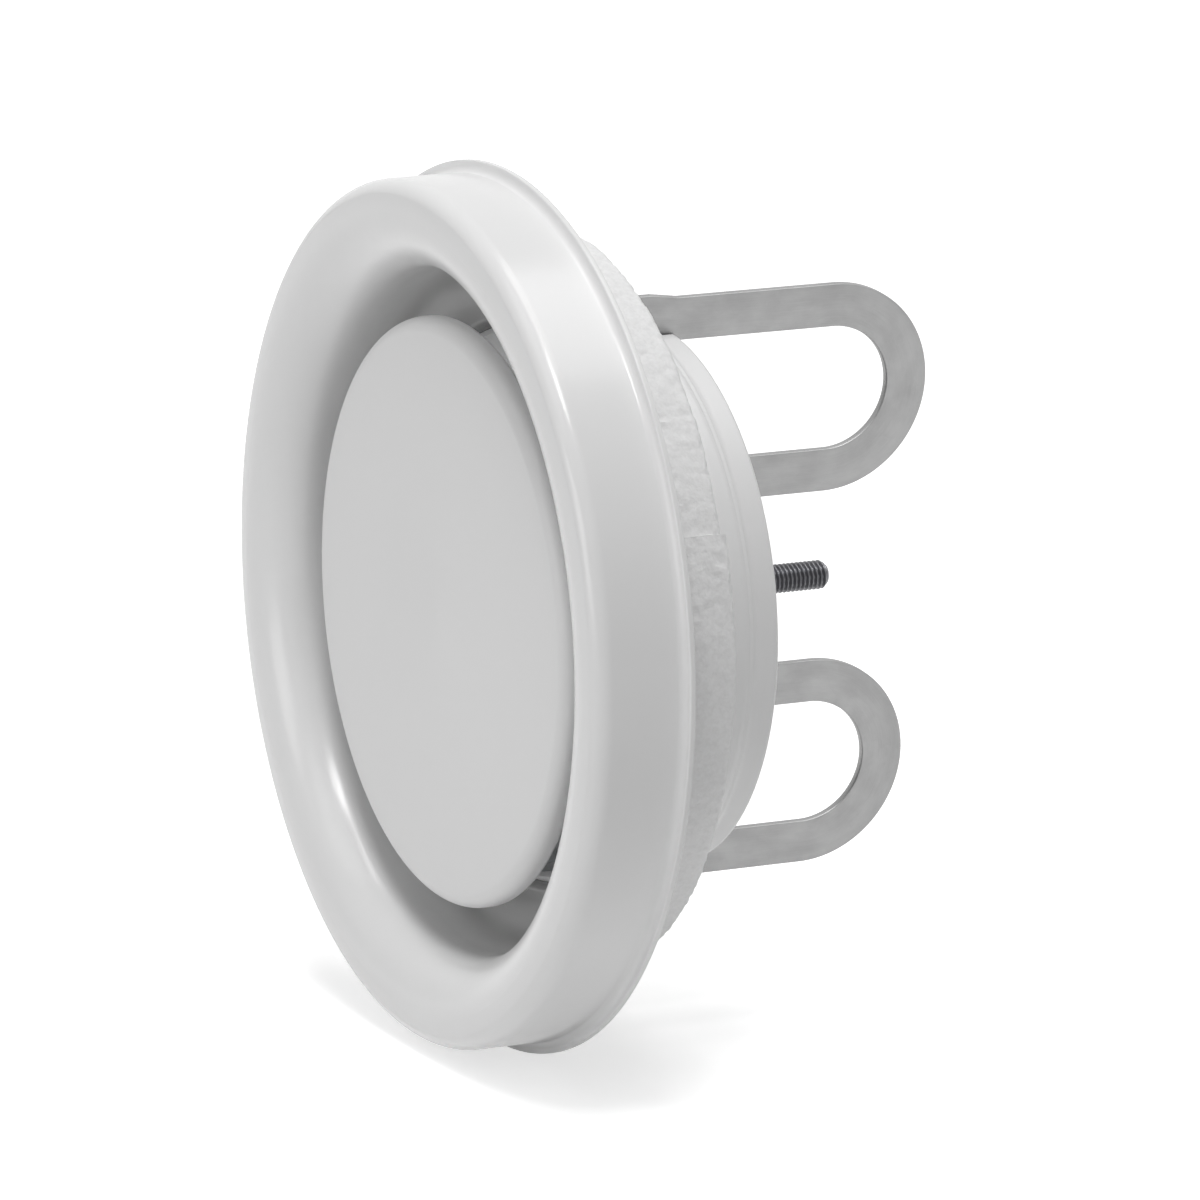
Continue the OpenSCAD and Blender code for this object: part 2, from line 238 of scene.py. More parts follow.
class Studio(bpy.types.PropertyGroup):
    """Camera and light"""

    azimuth: FloatProperty(
        name="Azimuth", description="Direction from which the camera looks, about Z",
        default=math.radians(-25.45), subtype="ANGLE")
    elevation: FloatProperty(
        name="Elevation", description="Height of the camera's direction",
        default=math.radians(12.44), subtype="ANGLE")
    distance: FloatProperty(
        name="Distance", description="Distance of the camera from its aim",
        default=1.5, unit="LENGTH")
    lens: FloatProperty(
        name="Lens", description="Focal length on a 36 mm wide sensor", default=269.2)
    key: FloatProperty(
        name="Key", description="Power of the small lamp above the near side", default=25.5,
        unit="POWER")
    top: FloatProperty(
        name="Top", description="Power of the large lamp above", default=44.0, unit="POWER")
    front: FloatProperty(
        name="Front", description="Power of the large lamp above the front", default=12.5,
        unit="POWER")
    low: FloatProperty(
        name="Low", description="Power of the low lamp in front", default=16.5,
        unit="POWER")
    back: FloatProperty(
        name="Back", description="Power of the lamp behind", default=6.0, unit="POWER")
    ambient: FloatProperty(
        name="Ambient", description="Brightness of the room round the valve", default=0.01)


# Surfaces


def arc(cx, cy, radius, a0, a1, step=5.0):
    """Points of an arc: the centre plus the radius times cosine and sine of even angles."""
    count = 1 if a0 == a1 else int(max(2, math.ceil(abs(a1 - a0) / step) + 1))
    angle = np.radians(np.linspace(a0, a1, count))
    return np.stack([cx + radius * np.cos(angle), cy + radius * np.sin(angle)], 1)


def bent_sheet(bends, thickness, step=5.0):
    """Closed section of a bent sheet. A bend is (cx, cy, radius, a0, a1, side): one face is
    the arcs of all bends in order, the other the same arcs with their radius larger by the
    thickness times side, run backwards."""
    faces = [np.vstack([arc(b[0], b[1], b[2] + b[5] * d, b[3], b[4], step) for b in bends])
             for d in (0.0, thickness)]
    return np.vstack([faces[0], faces[1][::-1]])


def eased(section, radius, count=4):
    """The closed section with each corner that turns by more than 50 degrees replaced by
    the quadratic blend of the corner and the points one radius away on its two edges."""
    before = section - np.roll(section, 1, 0)
    after = np.roll(section, -1, 0) - section
    before /= np.linalg.norm(before, axis=1, keepdims=True) + 1e-15
    after /= np.linalg.norm(after, axis=1, keepdims=True) + 1e-15
    sharp = (before * after).sum(1) < math.cos(math.radians(50))
    t = np.linspace(0, 1, count)[None, :, None]
    tip = section[sharp][:, None]
    blend = ((1 - t) ** 2 * (tip - radius * before[sharp][:, None]) + 2 * t * (1 - t) * tip
             + t ** 2 * (tip + radius * after[sharp][:, None]))
    index = np.repeat(np.arange(len(section)), np.where(sharp, count, 1))
    out = section[index]
    out[sharp[index]] = blend.reshape(-1, 2)
    return out


def turned(section, count):
    """Section [radius, y] carried round the Y axis: x is the radius times the cosine of
    the turn and z the radius times its sine. Rows follow the turn, columns the section."""
    turn = np.arange(count) * (2 * math.pi / count)
    radius, y = section.T
    return np.stack([np.cos(turn)[:, None] * radius, np.ones(count)[:, None] * y,
                     np.sin(turn)[:, None] * radius], 2)


def grid_quads(rows, cols, wrap_rows, wrap_cols):
    """Corners of the grid's quads: each point with its neighbours in the next row and
    column, the last row or column joined to the first where it wraps."""
    i, j = np.meshgrid(np.arange(rows - (not wrap_rows)), np.arange(cols - (not wrap_cols)),
                       indexing="ij")
    i, j = i.ravel(), j.ravel()
    i2, j2 = (i + 1) % rows, (j + 1) % cols
    return np.stack([i * cols + j, i2 * cols + j, i2 * cols + j2, i * cols + j2], 1)


def band_noise(rows, cols, coarse, fine, seed):
    """Even random height over a wrapping grid: white noise whose spectrum is kept between
    the coarse and the fine number of waves, scaled to a spread of one."""
    field = np.fft.fft2(np.random.default_rng(seed).standard_normal((rows, cols)))
    waves = np.hypot(np.fft.fftfreq(rows)[:, None] * rows / coarse[0],
                     np.fft.fftfreq(cols)[None] * cols / coarse[1])
    small = np.hypot(np.fft.fftfreq(rows)[:, None] * rows / fine[0],
                     np.fft.fftfreq(cols)[None] * cols / fine[1])
    field *= (1 - np.exp(-waves ** 2)) * np.exp(-small ** 2)
    field = np.fft.ifft2(field).real
    return field / field.std()


def volume(points, quads):
    """Signed volume of a closed mesh: a third of the sum of face area times distance."""
    a, b, c, d = (points[quads[:, k]] for k in range(4))
    return float((np.cross(b - a, c - a) * a).sum() + (np.cross(c - a, d - a) * a).sum()) / 6


def add_piece(name, grid, material, body, replaces=(), wrap=(True, True), caps=False,
              uv=None, sharp=35.0):
    """Makes a closed piece from a grid of points and puts it on its body."""
    rows, cols = grid.shape[:2]
    points = grid.reshape(-1, 3)
    quads = grid_quads(rows, cols, *wrap)
    faces = quads.tolist()
    if caps:
        faces += [list(range(cols))[::-1], list(range((rows - 1) * cols, rows * cols))]
    if volume(points - points.mean(0), quads) < 0:
        faces = [f[::-1] for f in faces]
        quads = quads[:, ::-1]
    mesh = bpy.data.meshes.new(name)
    mesh.from_pydata(points.tolist(), [], faces)
    if uv is not None:
        layer = mesh.uv_layers.new(name="Surface")
        loop = np.zeros(len(mesh.loops), np.int32)
        mesh.loops.foreach_get("vertex_index", loop)
        layer.data.foreach_set("uv", uv.reshape(-1, 2)[loop].astype(np.float32).ravel())
    mesh.materials.append(material)
    piece = bpy.data.objects.new(name, mesh)
    bpy.context.scene.collection.objects.link(piece)
    weld(mesh)
    mesh.shade_smooth()
    mesh.set_sharp_from_angle(angle=math.radians(sharp))
    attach(piece, body)
    if replaces:
        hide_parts(*replaces)
    return piece


def weld(mesh):
    """Joins points that lie on each other, so that poles and seams are closed."""
    import bmesh
    work = bmesh.new()
    work.from_mesh(mesh)
    bmesh.ops.remove_doubles(work, verts=work.verts, dist=1e-7)
    work.to_mesh(mesh)
    work.free()


# Shader groups


def new_group(name, inputs, outputs):
    """Empty shader group with named number or vector sockets; returns it with its ends."""
    tree = bpy.data.node_groups.new(name, "ShaderNodeTree")
    for label, default in inputs:
        kind = "NodeSocketVector" if default is None else "NodeSocketFloat"
        socket = tree.interface.new_socket(name=label, in_out="INPUT", socket_type=kind)
        if default is not None:
            socket.default_value = default
    for label in outputs:
        tree.interface.new_socket(name=label, in_out="OUTPUT", socket_type="NodeSocketFloat")
    return tree, tree.nodes.new("NodeGroupInput"), tree.nodes.new("NodeGroupOutput")


def put(tree, kind, inputs=None, **settings):
    """Adds a node, sets it up and fills its sockets with numbers or links."""
    node = tree.nodes.new(kind)
    for key, value in settings.items():
        setattr(node, key, value)
    for key, value in (inputs or {}).items():
        socket = node.inputs[key]
        if isinstance(value, bpy.types.NodeSocket):
            tree.links.new(value, socket)
        else:
            socket.default_value = value
    return node


def maths(tree, operation, a, b=0.0, clamp=False):
    """One step of arithmetic on two numbers or links."""
    return put(tree, "ShaderNodeMath", {0: a, 1: b}, operation=operation,
               use_clamp=clamp).outputs[0]


def orange_peel():
    """Fine waviness of sprayed or powder paint, and slow drift of its gloss."""
    tree, start, end = new_group("Orange peel", [("Vector", None), ("Scale", 700.0)],
                                 ["Height", "Drift"])
    fine = put(tree, "ShaderNodeTexNoise", {
        "Vector": start.outputs["Vector"], "Scale": start.outputs["Scale"], "Detail": 2.0,
        "Roughness": 0.4})
    slow = put(tree, "ShaderNodeTexNoise", {
        "Vector": start.outputs["Vector"], "Scale": 38.0, "Detail": 3.0})
    tree.links.new(fine.outputs["Fac"], end.inputs["Height"])
    tree.links.new(slow.outputs["Fac"], end.inputs["Drift"])
    return tree


def rolled_grain():
    """Fine lines of rolled strip along the vector's X."""
    tree, start, end = new_group(
        "Rolled grain", [("Vector", None), ("Across", 5000.0), ("Along", 90.0)],
        ["Lines", "Blotches"])
    stretch = put(tree, "ShaderNodeCombineXYZ", {
        "X": start.outputs["Along"], "Y": start.outputs["Across"],
        "Z": start.outputs["Across"]})
    scaled = put(tree, "ShaderNodeVectorMath", {
        0: start.outputs["Vector"], 1: stretch.outputs[0]}, operation="MULTIPLY")
    lines = put(tree, "ShaderNodeTexNoise", {
        "Vector": scaled.outputs[0], "Scale": 1.0, "Detail": 4.0, "Roughness": 0.6})
    blotches = put(tree, "ShaderNodeTexNoise", {
        "Vector": start.outputs["Vector"], "Scale": 160.0, "Detail": 5.0})
    tree.links.new(lines.outputs["Fac"], end.inputs["Lines"])
    tree.links.new(blotches.outputs["Fac"], end.inputs["Blotches"])
    return tree


def zinc_spangle():
    """Soft crystal patches of a zinc coat: one number for each cell and its rim."""
    tree, start, end = new_group("Zinc spangle", [("Vector", None), ("Scale", 420.0)],
                                 ["Patch", "Rim"])
    cells = put(tree, "ShaderNodeTexVoronoi", {
        "Vector": start.outputs["Vector"], "Scale": start.outputs["Scale"]})
    rims = put(tree, "ShaderNodeTexVoronoi", {
        "Vector": start.outputs["Vector"], "Scale": start.outputs["Scale"]},
        feature="DISTANCE_TO_EDGE")
    patch = put(tree, "ShaderNodeSeparateColor", {0: cells.outputs["Color"]})
    tree.links.new(patch.outputs[0], end.inputs["Patch"])
    tree.links.new(rims.outputs["Distance"], end.inputs["Rim"])
    return tree


def shader_group(make):
    """The group that a function makes, made once."""
    name = {"orange_peel": "Orange peel", "rolled_grain": "Rolled grain",
            "zinc_spangle": "Zinc spangle"}[make.__name__]
    return bpy.data.node_groups.get(name) or make()


def new_material(name):
    """Material with nodes; returns it with its tree, its shader and object coordinates."""
    material = bpy.data.materials.get(name)
    if material:
        return material, None, None, None
    material = bpy.data.materials.new(name)
    material.use_nodes = True
    tree = material.node_tree
    shader = tree.nodes["Principled BSDF"]
    place = tree.nodes.new("ShaderNodeTexCoord").outputs["Object"]
    return material, tree, shader, place


def use_group(tree, make, inputs):
    """Places a shared group in a material with its own values."""
    node = put(tree, "ShaderNodeGroup", node_tree=shader_group(make))
    for key, value in inputs.items():
        if isinstance(value, bpy.types.NodeSocket):
            tree.links.new(value, node.inputs[key])
        else:
            node.inputs[key].default_value = value
    return node


def shaded(tree, factor, colour, low, high):
    """The colour times a number that runs smoothly from low to high with the factor."""
    level = put(tree, "ShaderNodeMapRange", {
        "Value": factor, "From Min": 0.2, "From Max": 0.8, "To Min": low, "To Max": high},
        interpolation_type="SMOOTHSTEP")
    return put(tree, "ShaderNodeVectorMath", {
        0: tuple(colour), "Scale": level.outputs[0]}, operation="SCALE").outputs[0]


def paint(name, colour, rough, wave=0.00002, painted_recess_shade=None):
    """Powder paint: even colour with a slow drift, orange peel in its gloss. Where a recess is
    given as (start, end, share, reach), painted shade darkens the colour along Y from start to
    end, down to the share of it, within the reach from the axis; it stands in for the shade deep
    in a recess, and the coat itself is even."""
    material, tree, shader, place = new_material(name)
    if tree is None:
        return material
    peel = use_group(tree, orange_peel, {"Vector": place, "Scale": 620.0})
    colour = shaded(tree, peel.outputs["Drift"], colour, 0.99, 1.01)
    # Painted shade: the colour is darkened deep in the recess, in place of the shade that falls
    # there
    if painted_recess_shade:
        split = put(tree, "ShaderNodeSeparateXYZ", {0: place})
        reach = put(tree, "ShaderNodeVectorMath", {0: put(tree, "ShaderNodeCombineXYZ", {
            "X": split.outputs["X"], "Z": split.outputs["Z"]}).outputs[0]},
            operation="LENGTH").outputs["Value"]
        inside = maths(tree, "LESS_THAN", reach, painted_recess_shade[3])
        depth = put(tree, "ShaderNodeMapRange", {
            "Value": split.outputs["Y"], "From Min": painted_recess_shade[0], "From Max": painted_recess_shade[1],
            "To Min": 0.0, "To Max": 1 - painted_recess_shade[2]}, interpolation_type="SMOOTHSTEP")
        painted_shade = maths(tree, "SUBTRACT", 1.0, maths(tree, "MULTIPLY", inside, depth.outputs[0]))
        colour = put(tree, "ShaderNodeVectorMath", {0: colour, "Scale": painted_shade},
                     operation="SCALE").outputs[0]
    tree.links.new(colour, shader.inputs["Base Color"])
    gloss = put(tree, "ShaderNodeMapRange", {
        "Value": peel.outputs["Drift"], "From Min": 0.2, "From Max": 0.8,
        "To Min": rough - 0.03, "To Max": rough + 0.03}, interpolation_type="SMOOTHSTEP")
    tree.links.new(gloss.outputs[0], shader.inputs["Roughness"])
    bump = put(tree, "ShaderNodeBump", {
        "Height": peel.outputs["Height"], "Strength": 0.6, "Distance": wave})
    tree.links.new(bump.outputs[0], shader.inputs["Normal"])
    return material


def steel(name, colour, rough, along=None, spangle=0.06, metallic=1.0):
    """Rolled or zinc coated steel: grain lines, soft crystal patches and dull blotches."""
    material, tree, shader, place = new_material(name)
    if tree is None:
        return material
    if along:
        place = tree.nodes.new("ShaderNodeUVMap")
        place.uv_map = "Surface"
        place = place.outputs[0]
    grain = use_group(tree, rolled_grain, {"Vector": place, "Across": 4200.0, "Along": 120.0})
    cells = use_group(tree, zinc_spangle, {"Vector": place, "Scale": 520.0})
    mixed = maths(tree, "ADD", maths(tree, "MULTIPLY", cells.outputs["Patch"], spangle),
                  maths(tree, "MULTIPLY", grain.outputs["Blotches"], 1 - spangle))
    tree.links.new(shaded(tree, mixed, colour, 0.9, 1.1), shader.inputs["Base Color"])
    dull = put(tree, "ShaderNodeMapRange", {
        "Value": grain.outputs["Lines"], "From Min": 0.2, "From Max": 0.8,
        "To Min": rough - 0.08, "To Max": rough + 0.1}, interpolation_type="SMOOTHSTEP")
    tree.links.new(dull.outputs[0], shader.inputs["Roughness"])
    bump = put(tree, "ShaderNodeBump", {
        "Height": grain.outputs["Lines"], "Strength": 0.5, "Distance": 0.00002})
    tree.links.new(bump.outputs[0], shader.inputs["Normal"])
    shader.inputs["Metallic"].default_value = metallic
    return material


def foam(name, colour):
    """Closed cell foam: small rounded cells, darker between them, quite dull."""
    material, tree, shader, place = new_material(name)
    if tree is None:
        return material
    cells = put(tree, "ShaderNodeTexVoronoi", {
        "Vector": place, "Scale": 1900.0, "Randomness": 1.0}, feature="SMOOTH_F1")
    clouds = put(tree, "ShaderNodeTexNoise", {
        "Vector": place, "Scale": 1100.0, "Detail": 4.0, "Roughness": 0.6})
    mixed = maths(tree, "SUBTRACT", clouds.outputs["Fac"],
                  maths(tree, "MULTIPLY", cells.outputs["Distance"], 0.25))
    tree.links.new(shaded(tree, maths(tree, "ADD", mixed, 0.12), colour, 1.0, 1.12),
                   shader.inputs["Base Color"])
    shader.inputs["Roughness"].default_value = 0.85
    shader.inputs["Specular IOR Level"].default_value = 0.3
    bump = put(tree, "ShaderNodeBump", {
        "Height": mixed, "Strength": 0.6, "Distance": 0.0002})
    tree.links.new(bump.outputs[0], shader.inputs["Normal"])
    return material


def dress(node, material):
    """Gives a CAD node its material."""
    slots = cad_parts[node].material_slots
    for slot in slots:
        slot.material = material
    if not slots:
        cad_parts[node].data.materials.append(material)


# Pieces


def ring_section(s):
    """Section of the ring from lip to neck: lip, skirt, shoulder, face, nose, throat,
    floor and neck as bends of one sheet."""
    lip_y = -s.sheet - s.lip_bend
    face_y = s.face_round - s.depth
    lean = math.asin((s.skirt_radius - s.shoulder - s.crest_radius)
                     / (s.face_round - s.shoulder))
    shoulder_y = face_y - (s.face_round - s.shoulder) * math.cos(lean)
    lean = math.degrees(lean)
    throat = s.crest_radius - s.nose
    neck = s.neck_radius + s.neck_bend
    neck_end = corner("front_ring", 1)[1]
    return bent_sheet([
        (s.lip_radius, lip_y, s.lip_bend, 90, 90, 1),
        (s.skirt_radius + s.lip_bend, lip_y, s.lip_bend, 90, 180, 1),
        (s.skirt_radius - s.shoulder, shoulder_y, s.shoulder, 0, lean - 90, -1),
        (s.crest_radius, face_y, s.face_round, lean - 90, -90, -1),
        (s.crest_radius, s.nose - s.depth, s.nose, -90, -180, -1),
        (throat - s.floor_bend, s.floor_reach - s.floor_bend, s.floor_bend, 0, 90, 1),
        (neck, s.floor_reach + s.neck_bend, s.neck_bend, -90, -180, -1),
        (neck, neck_end, s.neck_bend, 180, 180, -1)], s.sheet)


class VALVE_OT_front_ring(bpy.types.Operator):
    """Make the pressed front ring"""

    bl_idname = "valve.front_ring"
    bl_label = "Front ring"

    def execute(self, context):
        scene = context.scene
        section = eased(ring_section(scene.valve_ring), 0.0003, 6)
        # The last tuple paints shade into the throat and floor: darker from y -4.5 mm to 2 mm,
        # within 59.5 mm of the axis
        add_piece("ring_shell", turned(section, 256), paint(
            "Ring paint", scene.valve_finish.ring, 0.2, 0.00002,
            (-0.0045, 0.002, 0.42, 0.0595)), "housing", ["front_ring"])
        return {"FINISHED"}


class VALVE_OT_control_disc(bpy.types.Operator):
    """Make the control disc"""

    bl_idname = "valve.control_disc"
    bl_label = "Control disc"

    def execute(self, context):
        scene = context.scene
        s = scene.valve_disc
        back = corner("control_disc", 1)[1]
        section = eased(bent_sheet([
            (0, s.edge - s.front, s.edge, -90, -90, -1),
            (s.radius - s.edge, s.edge - s.front, s.edge, -90, 0, -1),
            (s.radius - s.hem, back - s.hem, s.hem, 0, 180, -1)], s.sheet), 0.0001)
        section[:, 0] = np.maximum(section[:, 0], 0)
        add_piece("disc_pan", turned(section, 192), paint(
            "Disc paint", scene.valve_finish.disc, 0.38), "disc",
            ["control_disc"])
        return {"FINISHED"}


class VALVE_OT_foam_gasket(bpy.types.Operator):
    """Make the foam gasket with its butt seam"""

    bl_idname = "valve.foam_gasket"
    bl_label = "Foam gasket"

    def execute(self, context):
        """The strip's section is carried from one side of the seam to the other. Random
        soft lumps push each point outwards. Near the seam the radius and the rear face
        follow bell curves of the angle, so that one end stands proud of the other, and a
        wider bell curve presses the strip in at the bottom."""
        scene = context.scene
        s = scene.valve_foam
        low, high = corner("foam_gasket", 0), corner("foam_gasket", 1)
        inner = scene.valve_ring.neck_radius + scene.valve_ring.sheet + 0.0001
        outer = s.radius - 0.0002
        y0, y1 = low[1], high[1]
        e = s.round
        section = np.vstack([
            np.stack([np.full(13, outer), np.linspace(y0 + e, y1 - e, 13)], 1),
            arc(outer - e, y1 - e, e, 15, 90, 15),
            np.stack([np.linspace(outer - e, inner - 0.001, 22)[1:], np.full(21, y1)], 1),
            arc(inner - 0.001, y1 - 0.0004, 0.0001, 180, 180),
            arc(inner, y1 - e - 0.0011, 0.0001, 180, 180),
            np.stack([np.full(8, inner), np.linspace(y1 - 0.003, y0 + 0.0004, 8)], 1),
            np.stack([np.linspace(inner, outer - e, 20), np.full(20, y0)], 1),
            arc(outer - e, y0 + e, e, -75, -15, 15)])
        rows = 640
        gap = 0.00003 / outer
        turn = s.seam + np.linspace(gap, 2 * math.pi - gap, rows)
        lump = 0.6 * band_noise(rows, len(section), (60, 2), (420, 16), 5)
        lump += 0.5 * band_noise(rows, len(section), (8, 1), (40, 3), 9)
        middle = np.array([(inner + outer) / 2, (y0 + y1) / 2])
        out = section - middle
        out /= np.linalg.norm(out, axis=1, keepdims=True)
        free = np.clip((section[:, 0] - inner) / 0.004, 0, 1)
        lump = np.clip(lump, -2.5, 1.2) * s.lumps * free
        first = np.exp(-((turn - s.seam) / 0.25) ** 2)[:, None]
        last = np.exp(-((turn - s.seam - 2 * math.pi) / 0.6) ** 2)[:, None]
        low = np.exp(-((turn - math.radians(286)) / 0.6) ** 2)[:, None]
        behind = np.clip((section[:, 1] - y0) / (y1 - y0), 0, 1)
        sink = s.step * 0.7 * first + s.dent * low
        radius = section[:, 0] + out[:, 0] * lump - sink * free * behind
        y = section[:, 1] + np.minimum(out[:, 1] * lump, 0.0002) * (section[:, 1] > y0 + e / 2)
        y = y + s.step * (last - 0.3 * first) * free * behind ** 2
        grid = np.stack([np.cos(turn)[:, None] * radius, y,
                         np.sin(turn)[:, None] * radius], 2)
        piece = add_piece("foam_strip", grid, foam("Gasket foam", scene.valve_finish.foam),
                          "housing", ["foam_gasket"], (False, True), True)
        return {"FINISHED"}


def loop_path(s, foot_top, tip):
    """Middle line of a loop's strip in its own plane, as arrays: the point (along the
    plane's normal, away from the axis, along y), the strip's width direction and its
    width. The foot lies on the bridge, turns up through a quarter circle into the inner
    leg, goes round a half circle and runs back down the outer leg to the free tip."""
    bend, half = 0.001, s.sheet / 2
    mid = s.centre - s.round + s.strip / 2
    arm = s.round - s.strip / 2
    r = bend + half
    # foot
    n = np.linspace(0.0085, r, 8)
    foot = np.stack([n, 0 * n + mid, 0 * n + foot_top - half], 1)
    a = np.radians(np.linspace(270, 180, 9))[1:]
    fold = np.stack([r + r * np.cos(a), 0 * a + mid, foot_top + bend + r * np.sin(a)], 1)
    y = np.concatenate([np.linspace(foot_top + bend + 0.0001, foot_top + bend + 0.005, 14),
                        np.linspace(foot_top + bend + 0.008, s.end, 14)])
    leg = np.stack([0 * y, 0 * y + mid, y], 1)
    a = np.radians(np.linspace(180, 0, 61))[1:]
    bow = np.stack([0 * a, s.centre + arm * np.cos(a), s.end + arm * np.sin(a)], 1)
    y = np.concatenate([np.linspace(s.end - 0.002, 0.0309, 12),
                        np.linspace(0.0298, 0.0248, 6), np.linspace(0.0236, tip, 24)])
    outside = np.interp(y, [tip, tip + 0.002, 0.0248, 0.0298],
                        s.centre + s.round + np.array([-0.0013, 0.0007, 0.0007, 0]))
    inside = np.interp(y, [tip, tip + 0.005], s.centre + s.round - s.strip
                       + np.array([0.0025, 0]))
    free = np.stack([0 * y, (outside + inside) / 2, y], 1)
    point = np.vstack([foot, fold, leg, bow, free])
    k = len(foot) + len(fold)
    across = np.tile([0.0, 1.0, 0.0], (len(point), 1))
    turn = np.concatenate([np.zeros(k + len(leg)), np.pi - a, np.full(len(y), np.pi)])
    across[:, 1], across[:, 2] = np.cos(turn), -np.sin(turn)
    width = np.concatenate([
        np.full(k, s.foot),
        np.interp(leg[:, 2], [foot_top + bend + 0.0015, foot_top + bend + 0.004],
                  [s.foot, s.strip]),
        np.full(len(bow), s.strip), outside - inside])
    return point, across, width


class VALVE_OT_spring_loops(bpy.types.Operator):
    """Make the two flat spring loops"""

    bl_idname = "valve.spring_loops"
    bl_label = "Spring loops"

    def execute(self, context):
        """A flat section with rounded edges is carried along the loop's middle line: its
        width follows the strip's width direction, its thickness the direction square to
        it and to the line. Short inset rows round the two ends."""
        scene = context.scene
        s = scene.valve_loop
        foot_top = 0.017
        point, across, width = loop_path(s, foot_top, 0.0144)
        along = np.gradient(point, axis=0)
        along /= np.linalg.norm(along, axis=1, keepdims=True)
        across -= along * (across * along).sum(1, keepdims=True)
        across /= np.linalg.norm(across, axis=1, keepdims=True)
        square = np.cross(across, along)
        e = s.edge
        inset = e * np.array([0.8, 0.3, 0.0])
        back = e * np.array([0.0, 0.25, 1.0])
        point = np.vstack([point[0] + along[0] * back[:, None], point[1:-1],
                           point[-1] - along[-1] * back[::-1, None]])
        width = np.concatenate([width[0] - 2 * inset, width[1:-1],
                                width[-1] - 2 * inset[::-1]])
        depth = np.concatenate([s.sheet - 2 * inset, np.full(len(along) - 2, s.sheet),
                                s.sheet - 2 * inset[::-1]])
        ends = [0, 0] + list(range(len(along))) + [-1, -1]
        across, square = across[ends], square[ends]
        a = np.radians(np.array([0, 30, 60, 90]))
        a = np.concatenate([a, a + np.pi / 2, a + np.pi, a + 1.5 * np.pi])
        side = np.repeat([1, -1, -1, 1], 4)
        up = np.repeat([1, 1, -1, -1], 4)
        w = side * (width[:, None] / 2 - e) + e * np.cos(a)
        t = up * (depth[:, None] / 2 - e) + e * np.sin(a)
        local = (point[:, None] + across[:, None] * w[..., None]
                 + square[:, None] * t[..., None])
        run = np.concatenate([[0], np.cumsum(np.linalg.norm(np.diff(point, axis=0), axis=1))])
        girth = np.concatenate([[0], np.cumsum(np.hypot(np.diff(w[20]), np.diff(t[20])))])
        uv = np.stack(np.broadcast_arrays(run[:, None], girth), 2)
        metal = steel("Spring steel", scene.valve_finish.spring, 0.42, True)
        outward = np.array([math.cos(s.plane), 0, math.sin(s.plane)])
        normal = np.array([math.sin(s.plane), 0, -math.cos(s.plane)])
        for name, node, sign in (("loop_upper", "upper_spring_loop", 1),
                                 ("loop_lower", "lower_spring_loop", -1)):
            grid = (sign * (local[..., :1] * normal + local[..., 1:2] * outward)
                    + local[..., 2:] * np.array([0, 1, 0]))
            add_piece(name, grid, metal, "housing", [node], (False, True),
                      True, uv)
        return {"FINISHED"}


class VALVE_OT_spindle(bpy.types.Operator):
    """Make the threaded spindle"""

    bl_idname = "valve.spindle"
    bl_label = "Spindle"

    def execute(self, context):
        """The radius is that of the bar less a groove of 60 degrees. The groove's place
        follows y over the pitch plus the turn's share of a circle, which winds right
        handed. Chamfers cap the radius at both ends, and a point on the axis closes
        each."""
        scene = context.scene
        s = scene.valve_thread
        y0, y1 = corner("spindle", 0)[1], corner("spindle", 1)[1]
        count = int((y1 - y0) / s.pitch * 9)
        y = np.linspace(y0, y1, count)[:, None]
        turn = np.arange(s.around) * (2 * math.pi / s.around)
        phase = np.mod(y / s.pitch + turn / (2 * math.pi), 1.0)
        groove = np.clip(1.12 - np.abs(phase - 0.5) * 2.6, 0, 1)
        radius = s.radius - s.depth * groove
        radius = np.minimum(radius, s.radius - 0.0007 + (y - y0))
        radius = np.minimum(radius, s.radius - 0.0008 + (y1 - y) * 0.9)
        grid = np.stack(np.broadcast_arrays(
            radius * np.cos(turn), y, radius * np.sin(turn)), 2)
        ends = [np.tile([0.0, v, 0.0], (1, s.around, 1)) for v in (y0, y1)]
        grid = np.concatenate([ends[0], grid, ends[1]])
        add_piece("threaded_rod", grid, steel(
            "Spindle steel", scene.valve_finish.spindle, 0.35), "screw",
            ["spindle"], (False, True), False, None, 60.0)
        return {"FINISHED"}


class VALVE_OT_carried_nodes(bpy.types.Operator):
    """Give the collar, bridge, cup and fasteners their finishes"""

    bl_idname = "valve.carried_nodes"
    bl_label = "Collar, bridge and fasteners"

    def execute(self, context):
        finish = context.scene.valve_finish
        dress("collar", paint("Collar paint", finish.collar, 0.36))
        zinc = steel("Zinc sheet", finish.zinc, 0.38, None, 0.35)
        for node in ("bridge", "disc_cup", "clamp_washer"):
            dress(node, zinc)
        nuts = steel("Nut steel", finish.nuts, 0.3)
        for node in ("lock_nut", "clamp_nuts", "loop_rivets", "threaded_bush"):
            dress(node, nuts)
        return {"FINISHED"}


